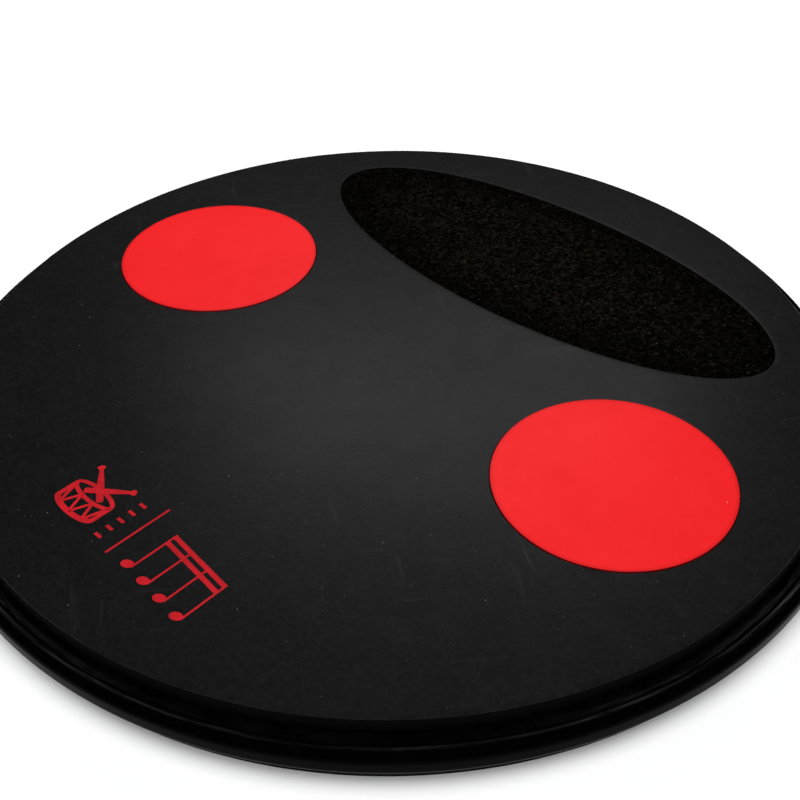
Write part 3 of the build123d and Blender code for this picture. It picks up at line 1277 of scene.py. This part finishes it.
def inkStick(middle, lean, shape):
    # a drumstick from above: a round butt, a shaft that narrows to the neck and an oval bead
    s = np.linspace(0, 1, 60)
    shaft = shape["butt"] / 2 + (shape["neck"] - shape["butt"]) / 2 * easeIn(s, 0.45, 0.88)
    bead = shape["bead"] / 2 * np.sqrt(np.clip(1 - ((s - 0.94) / 0.06) ** 2, 0.0, 1))
    butt = np.sqrt(np.clip(1 - (1 - np.clip(s / 0.05, 0, 1)) ** 2, 0.02, 1))
    half = np.where(s > 0.89, np.maximum(bead, shape["neck"] / 2 * (s < 0.95)), shaft) * butt
    half = np.maximum(half, 0.05 * mm)
    forward = np.array((sin(radians(lean)), cos(radians(lean))))
    w = np.linspace(-1, 1, 5)[:, None]
    along = (s - 0.5) * shape["length"]
    return (middle[0] + forward[0] * along + forward[1] * w * half,
            middle[1] + forward[1] * along - forward[0] * w * half)


def inkHead(middle, shape):
    # a note head: an ellipse leaning to the right, as a square grid pressed into it
    px, py = discGrid(13, 13)
    lean = radians(shape["headLean"])
    px, py = px * shape["head"], py * shape["head"] * shape["headFlat"]
    return middle[0] + px * cos(lean) - py * sin(lean), middle[1] + px * sin(lean) + py * cos(lean)


def inkDrum(drum):
    # a small drum seen from the front: an ellipse for the head, half an ellipse for the foot,
    # two sides and a zigzag of cords
    half, depth, stroke = drum["halfWidth"], drum["halfDepth"], drum["stroke"]
    whole, lower = np.linspace(0, fullTurn, 121), np.linspace(np.pi, fullTurn, 61)
    x, top, bottom = drum["x"], drum["top"], drum["bottom"]
    curves = [
        inkCurve(x + half * np.cos(whole), top + depth * np.sin(whole), stroke * 0.75),
        inkCurve(x + half * np.cos(lower), bottom + depth * np.sin(lower), stroke),
        inkBar((x - half, top), (x - half, bottom), stroke * 0.9),
        inkBar((x + half, top), (x + half, bottom), stroke * 0.9),
    ]
    share = np.linspace(-1, 1, 2 * drum["cords"] + 1)
    bend = depth * np.sqrt(1 - share ** 2)
    for step in range(2 * drum["cords"]):
        startY, endY = (bottom, top) if step % 2 else (top, bottom)
        start = (x + share[step] * half, startY - bend[step])
        end = (x + share[step + 1] * half, endY - bend[step + 1])
        curves.append(inkBar(start, end, drum["cord"]))
    return [(curve, count % 3) for count, curve in enumerate(curves)]


def makeMark(mark):
    # every curve has a layer, so that no two tops lie at the same height where they cross
    drum, stick, ticks, line, notes = (mark[part] for part in ("drum", "stick", "ticks", "line", "notes"))
    emblem = inkDrum(drum)
    for side, layer in ((1, 3), (-1, 4)):
        middle = (drum["x"] - side * 0.15 * stick["length"], drum["top"] + stick["rise"])
        emblem.append((inkStick(middle, -side * stick["lean"], stick), layer))
    left, right = ticks["x"] - ticks["width"] / 2, ticks["x"] + ticks["width"] / 2
    for height in np.linspace(ticks["low"], ticks["high"], ticks["count"]):
        emblem.append((inkBar((left, height), (right, height), ticks["stroke"]), 0))
    upright = inkBar((line["x"], line["low"]), (line["x"], line["high"]), line["width"], 40)
    rhythm = []
    for note in range(notes["count"]):
        x = notes["x"] + note * notes["step"]
        y = notes["y"] + note * notes["step"] * notes["slope"]
        stemX = x + notes["head"] * 0.9
        rhythm.append((inkHead((x, y), notes), 0))
        rhythm.append((inkBar((stemX, y), (stemX, y + notes["stem"]), notes["width"], 30), 1))
    firstStem = notes["x"] + notes["head"] * 0.9 - notes["width"] / 2
    lastStem = firstStem + (notes["count"] - 1) * notes["step"] + notes["width"]
    beamRise = (lastStem - firstStem) * notes["slope"]
    for drop in (0.0, notes["beamGap"]):
        beamY = notes["y"] + notes["stem"] - notes["beam"] / 2 - drop
        rhythm.append((inkBar((firstStem, beamY), (lastStem, beamY + beamRise), notes["beam"], 40), 2))
    pieces = {"printed_emblem": emblem, "printed_line": [(upright, 0)], "printed_notes": rhythm}
    for name, curves in pieces.items():
        blocks = [inkPatch(x, y, layer) for (x, y), layer in curves]
        makePiece(name, blocks, redInk, 60)


makeMark(markShape)
print("printed mark made")
